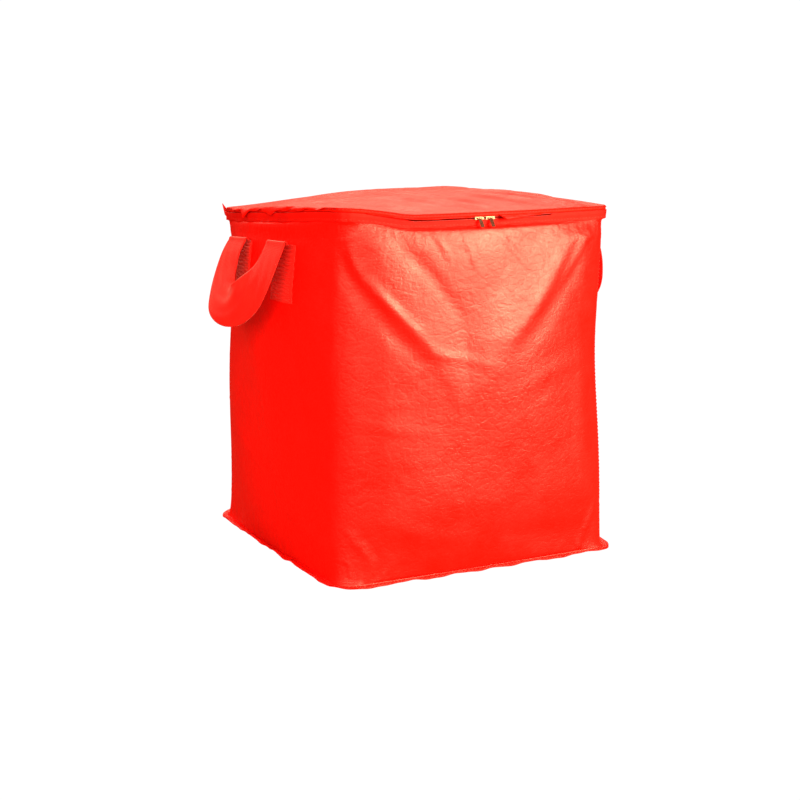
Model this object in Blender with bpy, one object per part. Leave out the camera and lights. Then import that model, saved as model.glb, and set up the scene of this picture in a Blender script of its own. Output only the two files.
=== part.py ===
"""Zip-top bulk bag: sewn woven walls, base, stand-up rim band, domed lid, two grip handles.

Metres, +Z up. The origin is under the middle of the base, the front faces -Y
and the left side is -X. The bag is drawn filled: every level is a rounded
square whose sides bow out.
"""
import math

import bmesh
import bpy
from mathutils import Matrix, Vector

# Filled shape: half widths at the corners, how far each side bows out, corner radii.
BASE_HALF = 0.314
RIM_HALF = 0.300
BASE_BOW = 0.003
RIM_BOW = 0.022
BELLY_BOW = 0.027
BASE_CORNER = 0.043
RIM_CORNER = 0.030
BELLY_CORNER = 0.077
BELLY_FULLNESS = 0.28

# Heights.
WALL_HEIGHT = 0.690
LID_DOME = 0.024

# Cloth, seams and gaps.
CLOTH = 0.0015
GAP = 0.0003
FLANGE_WIDTH = 0.012
BAND_LAP = 0.008
BAND_STAND = 0.0115
LID_HEM_HEIGHT = 0.0065
THREAD = 0.0012
SEAM_INSET = 0.004

# Zip.
TAPE_THICKNESS = 0.0010
TAPE_LAP = 0.0030
TEETH_WIDTH = 0.0030
TEETH_HEIGHT = 0.0017
TEETH_GAP = 0.0018
ZIP_FIRST_COLUMN = 4
STOP_LENGTH = 0.005
STOP_DEPTH = 0.0046
SLIDER_LENGTH = 0.020
SLIDER_PLATE = 0.0012
SLIDER_PLAY = 0.0016
BRIDGE_LENGTH = 0.005
BRIDGE_CLEARANCE = 0.0003
SLIDER_LEFT_X = -0.0195
SLIDER_RIGHT_X = 0.0045
PIN_RADIUS = 0.0006
EYE_RADIUS = 0.0015
EYE_LENGTH = 0.0060
EYE_CLEARANCE = 0.0004
LUG_WIDTH = 0.0012
PULL_LENGTH = 0.020
PULL_TILT = math.radians(35.0)
PULL_WIDTH = 0.008
PULL_THICKNESS = 0.0012

# Storm flaps over the zip.
FLAP_LEFT_START = -0.250
FLAP_LEFT_END = -0.042
FLAP_LEFT_DEPTH = 0.009
FLAP_RIGHT_START = 0.024
FLAP_RIGHT_END = 0.131
FLAP_RIGHT_DEPTH = 0.020
FLAP_RIGHT_SKEW = 0.007
FLAP_DROOP = math.radians(30.0)
FLAP_THICKNESS = 0.0010

# Handles: strap size, where the legs are sewn, how the loop hangs.
STRAP_WIDTH = 0.089
STRAP_THICKNESS = 0.0025
LEG_TOP = 0.647
LEG_HEIGHT = 0.110
LEG_SPACING = 0.200
LEFT_HANDLE_Y = 0.0
RIGHT_HANDLE_Y = -0.035
LOOP_DROP = 0.150
LOOP_TILT = math.radians(28.0)
LOOP_ROLL = math.radians(50.0)
LADDER_ROWS = 14
LADDER_EDGE = 0.006

# Resolution of the outline.
SIDE_STEPS = 8
CORNER_STEPS = 6
WALL_LEVELS = 12
COLUMNS = 4 * (SIDE_STEPS + CORNER_STEPS)
HALF_COLUMNS = COLUMNS // 2

# Derived levels, from the floor up.
HEM_BOTTOM = CLOTH + GAP
HEM_TOP = HEM_BOTTOM + CLOTH
BELLY_START = HEM_TOP + 2 * THREAD
WALL_TOP = WALL_HEIGHT + BAND_LAP
BAND_TOP = WALL_HEIGHT + BAND_STAND
TEETH_LOW = BAND_TOP + TEETH_GAP / 2
TEETH_HIGH = TEETH_LOW + TEETH_HEIGHT + TEETH_GAP
HEM_LINE = TEETH_HIGH + TEETH_HEIGHT + 2 * GAP
RIM_HEIGHT = HEM_LINE + LID_HEM_HEIGHT
ZIP_MIDDLE = TEETH_LOW + TEETH_HEIGHT + TEETH_GAP / 2
FRONT_MIDDLE_COLUMN = (3 * CORNER_STEPS) // 2 + SIDE_STEPS + SIDE_STEPS // 2
ZIP_LAST_COLUMN = 2 * FRONT_MIDDLE_COLUMN - ZIP_FIRST_COLUMN
BAND_INNER = GAP
BAND_OUTER = GAP + CLOTH
TEETH_MIDDLE = -TAPE_THICKNESS / 2

RED = (0.80, 0.035, 0.015)
DARK_RED = (0.55, 0.020, 0.012)


def material(name, colour, roughness, metallic=0.0):
    """Principled material with one plain colour."""
    made = bpy.data.materials.new(name)
    made.use_nodes = True
    shader = made.node_tree.nodes["Principled BSDF"]
    shader.inputs["Base Color"].default_value = (*colour, 1.0)
    shader.inputs["Roughness"].default_value = roughness
    shader.inputs["Metallic"].default_value = metallic
    return made


def add_object(name, bm, finish, smooth=True):
    """Turn a bmesh into a named object with outward faces."""
    bmesh.ops.recalc_face_normals(bm, faces=bm.faces)
    mesh = bpy.data.meshes.new(name)
    bm.to_mesh(mesh)
    bm.free()
    mesh.materials.append(finish)
    if smooth:
        mesh.shade_smooth()
        mesh.set_sharp_from_angle(angle=math.radians(35.0))
    made = bpy.data.objects.new(name, mesh)
    bpy.context.scene.collection.objects.link(made)
    return made


def lerp(start, end, share):
    return start + (end - start) * share


def level_shape(z):
    """Half width, bow and corner radius of the bag's outline at height z."""
    share = (z - BELLY_START) / (WALL_HEIGHT - BELLY_START)
    share = min(max(share, 0.0), 1.0)
    belly = (4.0 * share * (1.0 - share)) ** BELLY_FULLNESS
    half = lerp(BASE_HALF, RIM_HALF, share)
    bow = lerp(BASE_BOW, RIM_BOW, share) + BELLY_BOW * belly
    corner = lerp(BASE_CORNER, RIM_CORNER, share) * (1.0 - belly) + BELLY_CORNER * belly
    return half, bow, corner


def side_arc(z):
    """Half chord, half angle and radius of one bowed side, tangent to its corners."""
    half, bow, corner = level_shape(z)
    chord = half - corner
    for _ in range(8):
        angle = 2.0 * math.atan(bow / chord)
        chord = half - corner * (math.cos(angle) - math.sin(angle))
    radius = chord / math.sin(angle)
    return chord, angle, radius


def turn(x, y, quarter):
    """Turn a point of the front side to left (0), front (1), right (2) or back (3)."""
    if quarter == 0:
        return Vector((y, -x))
    if quarter == 1:
        return Vector((x, y))
    if quarter == 2:
        return Vector((-y, x))
    return Vector((-x, -y))


def column_point(column, z, offset):
    """Point on the outline at a column, moved outward by offset."""
    half, bow, corner = level_shape(z)
    chord, angle, radius = side_arc(z)
    steps = SIDE_STEPS + CORNER_STEPS
    place = (column - CORNER_STEPS // 2) % COLUMNS
    quarter, step = divmod(place, steps)
    if step <= SIDE_STEPS:
        turned = lerp(-angle, angle, step / SIDE_STEPS)
        x = (radius + offset) * math.sin(turned)
        y = radius - half - bow - (radius + offset) * math.cos(turned)
    else:
        turned = lerp(angle, math.pi / 2 - angle, (step - SIDE_STEPS) / CORNER_STEPS)
        centre_x = chord - corner * math.sin(angle)
        centre_y = corner * math.cos(angle) - half
        x = centre_x + (corner + offset) * math.sin(turned)
        y = centre_y - (corner + offset) * math.cos(turned)
    flat = turn(x, y, quarter)
    return Vector((flat.x, flat.y, z))


def side_point(quarter, along, z, offset):
    """Point on a bowed side, at a distance along it from its middle, moved outward."""
    half, bow, _ = level_shape(z)
    _, _, radius = side_arc(z)
    turned = math.asin(along / radius)
    x = (radius + offset) * math.sin(turned)
    y = radius - half - bow - (radius + offset) * math.cos(turned)
    flat = turn(x, y, quarter)
    return Vector((flat.x, flat.y, z))


def loft(name, sections, finish, closed=False, smooth=True):
    """Closed solid through equal sections, as a ring or with two end caps.

    A section runs out along one face and back along the other, so that a cap
    is a ladder of quads between them.
    """
    bm = bmesh.new()
    rings = []
    for section in sections:
        rings.append([bm.verts.new(point) for point in section])
    pairs = list(zip(rings, rings[1:]))
    if closed:
        pairs.append((rings[-1], rings[0]))
    for first, second in pairs:
        count = len(first)
        for index in range(count):
            following = (index + 1) % count
            bm.faces.new((first[index], first[following], second[following], second[index]))
    if not closed:
        for cap in (rings[0], rings[-1]):
            last = len(cap) - 1
            for index in range(len(cap) // 2 - 1):
                bm.faces.new((
                    cap[index], cap[index + 1], cap[last - index - 1], cap[last - index]))
    return add_object(name, bm, finish, smooth)


def strip_section(column, profile):
    """Section of an outline strip: profile points are (offset, height)."""
    return [column_point(column, z, offset) for offset, z in profile]


def box_profile(inner, outer, bottom, top):
    return [(inner, bottom), (outer, bottom), (outer, top), (inner, top)]


def ring(name, profile, finish):
    """Strip all round the outline."""
    sections = [strip_section(column, profile) for column in range(COLUMNS)]
    return loft(name, sections, finish, closed=True)


def run(name, profile, first, last, finish):
    """Strip along part of the outline, from one column to another."""
    sections = [strip_section(column, profile) for column in range(first, last + 1)]
    return loft(name, sections, finish)


def box(name, corners, finish):
    """Solid through eight corners: four of one end, then four of the other."""
    return loft(name, [corners[:4], corners[4:]], finish, smooth=False)


# ---------------------------------------------------------------- bag shell

def wall_levels():
    """Heights up the wall, closer together near the base and the rim."""
    levels = [HEM_TOP]
    for step in range(WALL_LEVELS + 1):
        share = 0.5 - 0.5 * math.cos(math.pi * step / WALL_LEVELS)
        levels.append(lerp(BELLY_START, WALL_HEIGHT, share))
    levels.append(WALL_TOP)
    return levels


def wall_panel(name, first, finish):
    """One cloth panel round two sides, its bottom edge turned out as a seam flange."""
    levels = wall_levels()
    profile = [(FLANGE_WIDTH, HEM_TOP)]
    profile += [(0.0, z) for z in levels]
    profile += [(-CLOTH, z) for z in reversed(levels[1:])]
    profile += [(-CLOTH, HEM_BOTTOM), (FLANGE_WIDTH, HEM_BOTTOM)]
    sections = []
    for step in range(HALF_COLUMNS + 1):
        section = strip_section(first + step, profile)
        if step in (0, HALF_COLUMNS):
            inward = 1 if step == 0 else -1
            neighbour = strip_section(first + step + inward, profile)
            section = [
                point + (other - point).normalized() * GAP / 2
                for point, other in zip(section, neighbour)
            ]
        sections.append(section)
    return loft(name, sections, finish)


def base_panel(finish):
    """Flat cloth base that reaches out to the edge of the seam flange."""
    bm = bmesh.new()
    lower = [bm.verts.new(column_point(c, 0.0, FLANGE_WIDTH)) for c in range(COLUMNS)]
    upper = []
    for vert in lower:
        upper.append(bm.verts.new(vert.co + Vector((0.0, 0.0, CLOTH))))
    bm.faces.new(lower)
    bm.faces.new(upper)
    for index in range(COLUMNS):
        following = (index + 1) % COLUMNS
        bm.faces.new((lower[index], lower[following], upper[following], upper[index]))
    bmesh.ops.triangulate(bm, faces=[face for face in bm.faces if len(face.verts) > 4])
    return add_object("base_panel", bm, finish)


def corner_thread(name, column, finish):
    """Row of seam thread up a corner where two wall panels meet."""
    sections = []
    for z in wall_levels()[2:-2]:
        lift = 2 * GAP + THREAD / 2
        middle = column_point(column, z, lift)
        before = column_point(column - 1, z, lift)
        after = column_point(column + 1, z, lift)
        along = (after - before).normalized() * THREAD / 2
        outward = Vector((along.y, -along.x, 0.0))
        sections.append([middle + along, middle + outward, middle - along, middle - outward])
    return loft(name, sections, finish)


# ---------------------------------------------------------------- lid

def lid_panel(finish):
    """Domed cloth lid, its edge on the lid hem."""
    edge_height = RIM_HEIGHT + GAP
    shares = (0.25, 0.5, 0.7, 0.85, 0.95, 1.0)
    bm = bmesh.new()

    def dome_height(share):
        return edge_height + LID_DOME * (1.0 - share ** 2.4)

    def surface(lift):
        middle = bm.verts.new((0.0, 0.0, dome_height(0.0) + lift))
        rings = []
        for share in shares:
            row = []
            for column in range(COLUMNS):
                edge = column_point(column, RIM_HEIGHT, BAND_OUTER)
                z = dome_height(share) + lift
                row.append(bm.verts.new((edge.x * share, edge.y * share, z)))
            rings.append(row)
        return middle, rings

    lower_middle, lower = surface(0.0)
    upper_middle, upper = surface(CLOTH)
    for middle, rings in ((lower_middle, lower), (upper_middle, upper)):
        for index in range(COLUMNS):
            following = (index + 1) % COLUMNS
            bm.faces.new((middle, rings[0][index], rings[0][following]))
            for inner, outer in zip(rings, rings[1:]):
                bm.faces.new((inner[index], outer[index], outer[following], inner[following]))
    for index in range(COLUMNS):
        following = (index + 1) % COLUMNS
        bm.faces.new((lower[-1][index], lower[-1][following], upper[-1][following], upper[-1][index]))
    return add_object("lid_panel", bm, finish)


def hinge_strip(finish):
    """Strip standing on the band along the back, where the lid is sewn on and folds."""
    first = ZIP_LAST_COLUMN + 1
    last = ZIP_FIRST_COLUMN - 1 + COLUMNS
    profile = box_profile(BAND_INNER, BAND_OUTER, BAND_TOP + GAP, RIM_HEIGHT)
    sections = [strip_section(column, profile) for column in range(first, last + 1)]
    for end, inward in ((0, 1), (-1, -2)):
        sections[end] = [
            point + (other - point).normalized() * GAP
            for point, other in zip(sections[end], sections[inward])
        ]
    return loft("lid_hinge_strip", sections, finish)


def zip_flap_left(finish):
    """Storm flap over the left half of the front zip, standing out from the lid hem."""
    sections = []
    steps = 6
    for step in range(steps + 1):
        along = lerp(FLAP_LEFT_START, FLAP_LEFT_END, step / steps)
        inner = BAND_OUTER + GAP
        outer = inner + FLAP_LEFT_DEPTH * min(1.0, 0.35 + 2.6 * step / steps)
        bottom = HEM_LINE + GAP
        profile = box_profile(inner, outer, bottom, bottom + FLAP_THICKNESS)
        sections.append([side_point(1, along, z, offset) for offset, z in profile])
    return loft("zip_flap_left", sections, finish)


def flap_frame():
    """Hinge point and axis of the right flap, on the outline's tangent at its middle."""
    middle = (FLAP_RIGHT_START + FLAP_RIGHT_END) / 2
    hinge = side_point(1, middle, HEM_LINE + 2 * FLAP_THICKNESS, BAND_OUTER + 2 * FLAP_THICKNESS)
    start = side_point(1, FLAP_RIGHT_START, HEM_LINE, 0.0)
    end = side_point(1, FLAP_RIGHT_END, HEM_LINE, 0.0)
    return hinge, (end - start).normalized()


def zip_flap_right(finish):
    """Loose end of the storm flap, folded out over its hinge line."""
    hinge, axis = flap_frame()
    outward = Vector((axis.y, -axis.x, 0.0))
    down = outward * math.cos(FLAP_DROOP) + Vector((0.0, 0.0, -math.sin(FLAP_DROOP)))
    normal = axis.cross(down).normalized() * FLAP_THICKNESS / 2
    length = FLAP_RIGHT_END - FLAP_RIGHT_START
    top_start = axis * -length / 2
    top_end = axis * length / 2
    low_start = top_start + axis * FLAP_RIGHT_SKEW + down * FLAP_RIGHT_DEPTH
    low_end = top_end - axis * FLAP_RIGHT_SKEW * 3 + down * FLAP_RIGHT_DEPTH * 0.4
    corners = []
    for side in (normal, -normal):
        corners += [point + side for point in (top_start, top_end, low_end, low_start)]
    made = box("zip_flap_right", corners, finish)
    made.location = hinge
    return made


# ---------------------------------------------------------------- zip

def teeth_profile(bottom):
    inner = TEETH_MIDDLE - TEETH_WIDTH / 2
    return box_profile(inner, inner + TEETH_WIDTH, bottom, bottom + TEETH_HEIGHT)


def zip_stop(name, column, direction, finish):
    """Metal stop past the end of the lower teeth."""
    z = TEETH_LOW
    start = column_point(column, z, TEETH_MIDDLE)
    further = column_point(column + direction, z, TEETH_MIDDLE)
    along = (further - start).normalized()
    across = Vector((along.y, -along.x, 0.0)) * STOP_DEPTH / 2
    near = start + along * GAP * 2
    far = near + along * STOP_LENGTH
    rise = Vector((0.0, 0.0, TEETH_HEIGHT + TEETH_GAP / 2))
    corners = []
    for middle in (near, far):
        corners += [middle + across, middle - across, middle - across + rise, middle + across + rise]
    return box(name, corners, finish)


def slider_frame(x):
    """Point on the zip's middle line at x; the front run is square to -Y there."""
    return side_point(1, x, ZIP_MIDDLE, TEETH_MIDDLE)


def local_box(bm, low, high):
    """Box given in zip axes: x along the zip, y outward, z up."""
    made = bmesh.ops.create_cube(bm, size=1.0)
    size = [b - a for a, b in zip(low, high)]
    middle = [(a + b) / 2 for a, b in zip(low, high)]
    for vert in made["verts"]:
        x = middle[0] + vert.co.x * size[0]
        y = -middle[1] - vert.co.y * size[1]
        z = middle[2] + vert.co.z * size[2]
        vert.co = (x, y, z)


def join_box(target, name, low, high):
    """Union of the target with a box in its own zip axes."""
    bm = bmesh.new()
    local_box(bm, low, high)
    bmesh.ops.recalc_face_normals(bm, faces=bm.faces)
    mesh = bpy.data.meshes.new(name)
    bm.to_mesh(mesh)
    bm.free()
    other = bpy.data.objects.new(name, mesh)
    bpy.context.scene.collection.objects.link(other)
    other.parent = target
    other.hide_render = True
    other.display_type = "WIRE"
    modifier = target.modifiers.new(name, "BOOLEAN")
    modifier.operation = "UNION"
    modifier.object = other


def zip_slider(name, x, head, finish):
    """Two plates astride the teeth, joined by the wedge at the head, with pin lugs."""
    inner = TEETH_WIDTH / 2 + SLIDER_PLAY
    outer = inner + SLIDER_PLATE
    half_height = TEETH_HEIGHT + TEETH_GAP - 2 * GAP
    half_length = SLIDER_LENGTH / 2
    bm = bmesh.new()
    local_box(bm, (-half_length, inner, -half_height), (half_length, outer, half_height))
    made = add_object(name, bm, finish, smooth=False)
    made.location = slider_frame(x)
    overlap = SLIDER_PLATE / 2
    bridge_half = TEETH_GAP / 2 - BRIDGE_CLEARANCE
    low_x, high_x = sorted((head * (half_length - BRIDGE_LENGTH), head * half_length))
    join_box(made, name + "_back", (-half_length, -outer, -half_height),
             (half_length, -inner, half_height))
    join_box(made, name + "_wedge", (low_x, -inner - overlap, -bridge_half),
             (high_x, inner + overlap, bridge_half))
    lug_reach = pull_axis_offset() + PIN_RADIUS * 2
    for side in (-1, 1):
        near = side * (EYE_LENGTH / 2 + EYE_CLEARANCE)
        low_x, high_x = sorted((near, near + side * LUG_WIDTH))
        join_box(made, name + "_lug_" + str(side), (low_x, outer - overlap, -EYE_RADIUS),
                 (high_x, lug_reach, EYE_RADIUS))
    pin_half = EYE_LENGTH / 2 + EYE_CLEARANCE + LUG_WIDTH / 2
    pin_low = pull_axis_offset() - PIN_RADIUS
    join_box(made, name + "_pin", (-pin_half, pin_low, -PIN_RADIUS),
             (pin_half, pin_low + 2 * PIN_RADIUS, PIN_RADIUS))
    return made


def pull_axis_offset():
    """How far the pull's pin stands out from the zip's middle line."""
    return TEETH_WIDTH / 2 + SLIDER_PLAY + SLIDER_PLATE + EYE_RADIUS + EYE_CLEARANCE


def zip_pull(name, x, finish):
    """Flat tab on a round eye round the slider's pin, its origin on the pin."""
    sides = 16
    hole = PIN_RADIUS * math.sqrt(2.0) + EYE_CLEARANCE / 4
    corners = ((EYE_RADIUS, -1), (EYE_RADIUS, 1), (hole, 1), (hole, -1))
    sections = []
    for step in range(sides):
        angle = 2.0 * math.pi * step / sides
        sections.append([
            Vector((end * EYE_LENGTH / 2, -radius * math.cos(angle), radius * math.sin(angle)))
            for radius, end in corners])
    made = loft(name, sections, finish, closed=True)
    half = PULL_THICKNESS / 2
    tab_half = half * 1.2
    join_box(made, name + "_neck", (-EYE_LENGTH / 2, -half, -PULL_LENGTH / 3),
             (EYE_LENGTH / 2, half, -(hole + EYE_RADIUS) / 2))
    join_box(made, name + "_tab", (-PULL_WIDTH / 2, -tab_half, -PULL_LENGTH),
             (PULL_WIDTH / 2, tab_half, -PULL_LENGTH / 4))
    made.location = slider_frame(x) - Vector((0.0, pull_axis_offset(), 0.0))
    made.rotation_euler = (-PULL_TILT, 0.0, 0.0)
    return made


# ---------------------------------------------------------------- handles

def leg_surface(quarter, centre, across, z, offset):
    """Point over a wall at a place across a strap leg."""
    along = centre + across
    sign = -1.0 if quarter == 0 else 1.0
    return side_point(quarter, along * sign, z, offset)


def handle_leg(name, quarter, centre, finish):
    """Strap end sewn flat to the wall."""
    rows = 6
    steps = 4
    sections = []
    for row in range(rows + 1):
        z = LEG_TOP - LEG_HEIGHT * row / rows
        inner = []
        outer = []
        for step in range(steps + 1):
            across = lerp(-STRAP_WIDTH / 2, STRAP_WIDTH / 2, step / steps)
            inner.append(leg_surface(quarter, centre, across, z, GAP))
            outer.append(leg_surface(quarter, centre, across, z, GAP + STRAP_THICKNESS))
        sections.append(inner + outer[::-1])
    return loft(name, sections, finish)


def ladder_stitch(name, quarter, centre, finish):
    """Zigzag sewing thread over a strap leg, one continuous line."""
    offset = 2 * GAP + STRAP_THICKNESS + THREAD / 2
    half_width = STRAP_WIDTH / 2 - LADDER_EDGE
    route = []
    for row in range(LADDER_ROWS):
        share = (row + 0.5) / LADDER_ROWS
        z = LEG_TOP - LEG_HEIGHT * share
        side = 1 if row % 2 else -1
        for place in (-1.0, -0.5, 0.0, 0.5, 1.0):
            route.append((half_width * side * place, z))
    points = [leg_surface(quarter, centre, across, z, offset) for across, z in route]
    sections = []
    for index, point in enumerate(points):
        before = points[max(index - 1, 0)]
        after = points[min(index + 1, len(points) - 1)]
        outward = leg_surface(quarter, centre, *route[index], offset + THREAD) - point
        outward = outward.normalized() * THREAD / 2
        aside = outward.cross((after - before).normalized())
        sections.append([point + outward, point + aside, point - outward, point - aside])
    return loft(name, sections, finish)


def loop_axis(quarter, centre):
    """Height-true point on the line that a handle loop swings about."""
    inner_edge = LEG_SPACING / 2 - STRAP_WIDTH / 2
    clearance = GAP + STRAP_THICKNESS * 1.5 + GAP
    reach = 0.0
    for place in (centre - inner_edge, centre, centre + inner_edge):
        reach = max(reach, abs(leg_surface(quarter, place, 0.0, LEG_TOP, clearance).x))
    side = -1.0 if quarter == 0 else 1.0
    return Vector((side * reach, centre, LEG_TOP))


def handle_loop(name, quarter, centre, finish):
    """Strap that hangs out from the tops of its two legs and rolls over at the bottom."""
    axis = loop_axis(quarter, centre)
    side = -1.0 if quarter == 0 else 1.0
    down = Vector((side * math.sin(LOOP_TILT), 0.0, -math.cos(LOOP_TILT)))
    outward = Vector((side * math.cos(LOOP_TILT), 0.0, math.sin(LOOP_TILT)))
    steps = 28
    middles = []
    for step in range(steps + 1):
        share = step / steps
        along = LEG_SPACING / 2 * math.cos(math.pi * share)
        drop = LOOP_DROP * math.sin(math.pi * share) ** 0.8
        middles.append(Vector((0.0, along, 0.0)) + down * drop)
    sections = []
    for step, middle in enumerate(middles):
        share = step / steps
        if step in (0, steps):
            travel = down if step == 0 else -down
        else:
            travel = (middles[step + 1] - middles[step - 1]).normalized()
        flat = outward.cross(travel).normalized()
        if flat.dot(Vector((0.0, 1.0, 0.0))) * math.cos(math.pi * share) < 0.0:
            flat = -flat
        roll = LOOP_ROLL * math.sin(math.pi * share) ** 2
        lean = 1.0 if flat.dot(down) < 0.0 else -1.0
        wide = flat * math.cos(roll) + outward * lean * math.sin(roll)
        thick = travel.cross(wide).normalized() * STRAP_THICKNESS / 2
        wide = wide.normalized() * STRAP_WIDTH / 2
        sections.append([middle + wide + thick, middle - wide + thick,
                         middle - wide - thick, middle + wide - thick])
    made = loft(name, sections, finish)
    made.location = axis
    return made


# ---------------------------------------------------------------- assembly

def hang_on(name, place, pieces):
    """Parent pieces to an empty on their joint's axis, leaving them where they are."""
    empty = bpy.data.objects.new(name, None)
    empty.location = place
    bpy.context.scene.collection.objects.link(empty)
    for piece in pieces:
        piece.parent = empty
        piece.matrix_parent_inverse = Matrix.Translation(-Vector(place))


def build():
    for existing in list(bpy.data.objects):
        bpy.data.objects.remove(existing)

    cloth = material("coated_cloth", RED, 0.45)
    trim = material("trim_cloth", DARK_RED, 0.6)
    webbing = material("webbing", RED, 0.8)
    thread = material("thread", DARK_RED, 0.7)
    plastic = material("zip_plastic", (0.35, 0.02, 0.015), 0.4)
    metal = material("zip_metal", (0.75, 0.62, 0.45), 0.3, 1.0)

    wall_panel("wall_panel_front_left", 0, cloth)
    wall_panel("wall_panel_back_right", HALF_COLUMNS, cloth)
    base_panel(cloth)
    seam_middle = FLANGE_WIDTH - SEAM_INSET
    ring("base_seam_thread", box_profile(
        seam_middle - THREAD / 2, seam_middle + THREAD / 2,
        HEM_TOP + GAP, HEM_TOP + GAP + THREAD / 2), thread)
    corner_thread("corner_seam_thread_back_left", 0, thread)
    corner_thread("corner_seam_thread_front_right", HALF_COLUMNS, thread)

    ring("rim_band", box_profile(BAND_INNER, BAND_OUTER, WALL_HEIGHT, BAND_TOP), trim)
    band_seam = WALL_HEIGHT + SEAM_INSET
    ring("rim_band_thread", box_profile(
        BAND_OUTER + GAP, BAND_OUTER + GAP + THREAD / 2,
        band_seam - THREAD / 2, band_seam + THREAD / 2), thread)

    zip_run = (ZIP_FIRST_COLUMN, ZIP_LAST_COLUMN)
    tape_bottom = WALL_TOP + GAP
    run("zip_tape_lower", box_profile(
        -TAPE_THICKNESS, 0.0, tape_bottom, TEETH_LOW - GAP), *zip_run, trim)
    run("zip_teeth_lower", teeth_profile(TEETH_LOW), *zip_run, plastic)
    lid_pieces = [run("zip_teeth_upper", teeth_profile(TEETH_HIGH), *zip_run, plastic)]
    tape_foot = TEETH_HIGH + TEETH_HEIGHT + GAP
    lid_pieces.append(run("zip_tape_upper", box_profile(
        -TAPE_THICKNESS, 0.0, tape_foot, HEM_LINE + TAPE_LAP), *zip_run, trim))
    zip_stop("zip_stop_left", ZIP_FIRST_COLUMN, -1, metal)
    zip_stop("zip_stop_right", ZIP_LAST_COLUMN, 1, metal)

    hem_run = (ZIP_FIRST_COLUMN - 1, ZIP_LAST_COLUMN + 1)
    hem_seam = HEM_LINE + LID_HEM_HEIGHT * 0.75
    lid_pieces.append(lid_panel(cloth))
    lid_pieces.append(run("lid_hem", box_profile(
        BAND_INNER, BAND_OUTER, HEM_LINE, RIM_HEIGHT), *hem_run, trim))
    lid_pieces.append(run("lid_hem_thread", box_profile(
        BAND_OUTER + GAP, BAND_OUTER + GAP + THREAD / 2,
        hem_seam - THREAD / 2, hem_seam + THREAD / 2), *hem_run, thread))
    lid_pieces += [zip_flap_left(cloth), zip_flap_right(cloth)]
    hinge_strip(trim)
    back_edge = RIM_HALF + RIM_BOW + BAND_OUTER + GAP
    hang_on("lid_hinge_line", (0.0, back_edge, RIM_HEIGHT), lid_pieces)

    for side, x, head in (("left", SLIDER_LEFT_X, 1), ("right", SLIDER_RIGHT_X, -1)):
        zip_slider("zip_slider_" + side, x, head, metal)
        zip_pull("zip_pull_" + side, x, metal)

    handles = (("left", 0, LEFT_HANDLE_Y), ("right", 2, RIGHT_HANDLE_Y))
    for side, quarter, centre in handles:
        for place, shift in (("front", -LEG_SPACING / 2), ("back", LEG_SPACING / 2)):
            name = "handle_leg_" + side + "_" + place
            handle_leg(name, quarter, centre + shift, webbing)
            ladder_stitch("leg_stitching_" + side + "_" + place, quarter, centre + shift, thread)
        handle_loop("handle_loop_" + side, quarter, centre, webbing)


build()
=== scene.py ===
"""Zip-top bulk bag: cloth, seams, zip, straps, materials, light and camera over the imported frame."""
import math

import bpy
import numpy as np
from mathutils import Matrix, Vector


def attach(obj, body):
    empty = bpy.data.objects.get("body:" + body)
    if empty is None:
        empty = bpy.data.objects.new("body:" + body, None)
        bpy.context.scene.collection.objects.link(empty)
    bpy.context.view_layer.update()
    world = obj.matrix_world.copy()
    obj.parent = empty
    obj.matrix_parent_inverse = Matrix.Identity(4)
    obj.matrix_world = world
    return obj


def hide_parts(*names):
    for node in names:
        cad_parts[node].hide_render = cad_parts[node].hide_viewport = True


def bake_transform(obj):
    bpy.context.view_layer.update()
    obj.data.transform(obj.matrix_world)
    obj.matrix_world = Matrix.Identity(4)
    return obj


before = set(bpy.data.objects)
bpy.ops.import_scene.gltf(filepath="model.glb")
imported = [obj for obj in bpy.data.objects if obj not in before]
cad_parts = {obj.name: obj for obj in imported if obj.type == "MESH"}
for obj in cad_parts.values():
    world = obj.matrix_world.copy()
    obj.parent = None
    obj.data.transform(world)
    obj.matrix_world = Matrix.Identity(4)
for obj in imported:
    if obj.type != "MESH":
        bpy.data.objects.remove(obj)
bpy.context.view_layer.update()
SCENE = bpy.context.scene

# The bag's outline, the same formula and sizes as the CAD.
BASE_HALF, RIM_HALF = 0.314, 0.300
BASE_BOW, RIM_BOW, BELLY_BOW = 0.003, 0.022, 0.027
BASE_CORNER, RIM_CORNER, BELLY_CORNER = 0.043, 0.030, 0.077
BELLY_FULLNESS = 0.28
WALL_HEIGHT = 0.690
CLOTH = 0.0015
GAP = 0.0003
FLANGE = 0.012
HEM_BOTTOM = CLOTH + GAP
HEM_TOP = HEM_BOTTOM + CLOTH
BELLY_START = HEM_TOP + 0.0024
WALL_TOP = 0.698
TEETH_LOW = 0.7024
TEETH_HIGH = 0.7059
TEETH_HEIGHT = 0.0017
HEM_LINE = 0.7082
RIM_HEIGHT = 0.7147
SIDE_STEPS, CORNER_STEPS, COLUMNS = 8, 6, 56
QUARTER = SIDE_STEPS + CORNER_STEPS
FRONT_COLUMN = 21.0
ZIP_FIRST, ZIP_LAST = 4, 38

# Straps.
STRAP_WIDTH = 0.089
LEG_TOP, LEG_HEIGHT, LEG_SPACING = 0.647, 0.110, 0.200
LOOP_DROP = 0.150
LOOP_TILT, LOOP_ROLL = math.radians(28.0), math.radians(50.0)

# Cloth as seen: single layers, the base, the hanging webbing, and thread radii.
SHEET, BASE_SHEET, WEBBING, LEG_FACE = 0.0009, 0.0015, 0.0022, 0.0012
THREAD, HEM_THREAD = 0.0005, 0.0008
STITCH_PITCH, HEM_STITCH_PITCH, STITCH_SHARE = 0.0080, 0.0070, 0.66
STITCH_SINK = np.array([-0.0006, 0.0, 0.0002, 0.0, -0.0006])


# ------------------------------------------------------------ outline

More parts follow.
